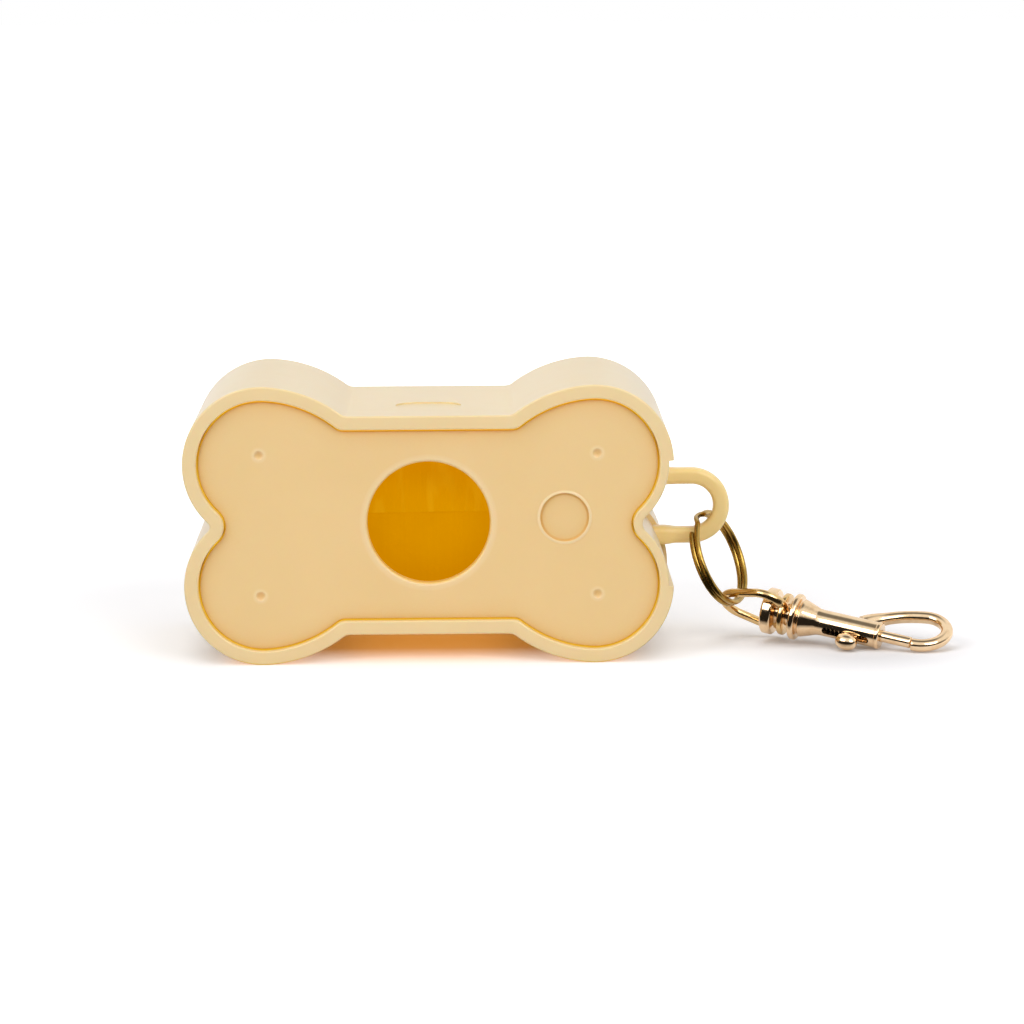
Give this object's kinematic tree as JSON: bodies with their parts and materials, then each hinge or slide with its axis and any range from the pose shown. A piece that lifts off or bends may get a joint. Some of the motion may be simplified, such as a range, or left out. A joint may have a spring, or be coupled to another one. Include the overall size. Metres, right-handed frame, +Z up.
{
  "type": "dog waste bag dispenser",
  "caption": "Bone-shaped pocket dispenser with a roll of waste bags behind a round mouth, a pull-off front panel, a carry loop, a split ring and a swivel snap.",
  "frame": {"origin": "centre of the case's flat back face, at the middle of the bone outline", "axes": "+X towards the carry loop, +Y out of the flat back face so the front panel faces -Y, +Z up"},
  "size_m": [0.1397, 0.042, 0.0504],
  "materials": {
    "shell": "satin tan",
    "loop": "satin tan",
    "panel": "satin tan",
    "core": "rough grey-brown board",
    "bags": "wound film",
    "lead": "thin film",
    "ring_metal": "dull aged",
    "eye_metal": "polished",
    "stud_metal": "polished",
    "snap_metal": "polished",
    "bolt_metal": "polished",
    "knob_metal": "polished",
    "spring_metal": "bare wire"
  },
  "bodies": {
    "case": {"case": "shell", "carry_loop": "loop"},
    "panel": {"front_panel": "panel"},
    "roll": {"roll_core": "core", "bag_roll": "bags", "leading_bag": "lead"},
    "ring": {"split_ring": "ring_metal"},
    "eye": {"swivel_eye": "eye_metal"},
    "snap": {"swivel_stud": "stud_metal", "snap_body": "snap_metal", "bolt_spring": "spring_metal"},
    "bolt": {"snap_bolt": "bolt_metal", "thumb_knob": "knob_metal"}
  },
  "joints": [
    {"name": "panel_pull", "type": "slide", "parent": "case", "child": "panel", "axis": [0, -1, 0], "range_m": [0, 0.045]},
    {"name": "roll_spin", "type": "hinge", "parent": "case", "child": "roll", "pos_m": [0, -0.02065, -0.0011], "axis": [1, 0, 0], "continuous": true},
    {"name": "ring_swing", "type": "hinge", "parent": "case", "child": "ring", "pos_m": [0.05105, -0.021, -0.00476], "axis": [0.866, 0, 0.5], "range_deg": [-60, 60]},
    {"name": "eye_swing", "type": "hinge", "parent": "ring", "child": "eye", "pos_m": [0.05657, -0.02193, -0.01806], "axis": [0.4163, 0.9073, 0.0592], "range_deg": [-50, 50]},
    {"name": "snap_swivel", "type": "hinge", "parent": "eye", "child": "snap", "pos_m": [0.06299, -0.02422, -0.01944], "axis": [0.911, -0.383, -0.153], "continuous": true},
    {"name": "bolt_slide", "type": "slide", "parent": "snap", "child": "bolt", "axis": [-0.911, 0.383, 0.153], "range_m": [0, 0.0045], "stiffness_N_per_m": 250, "springref_m": -0.002, "deforming": ["bolt_spring"]}
  ]
}
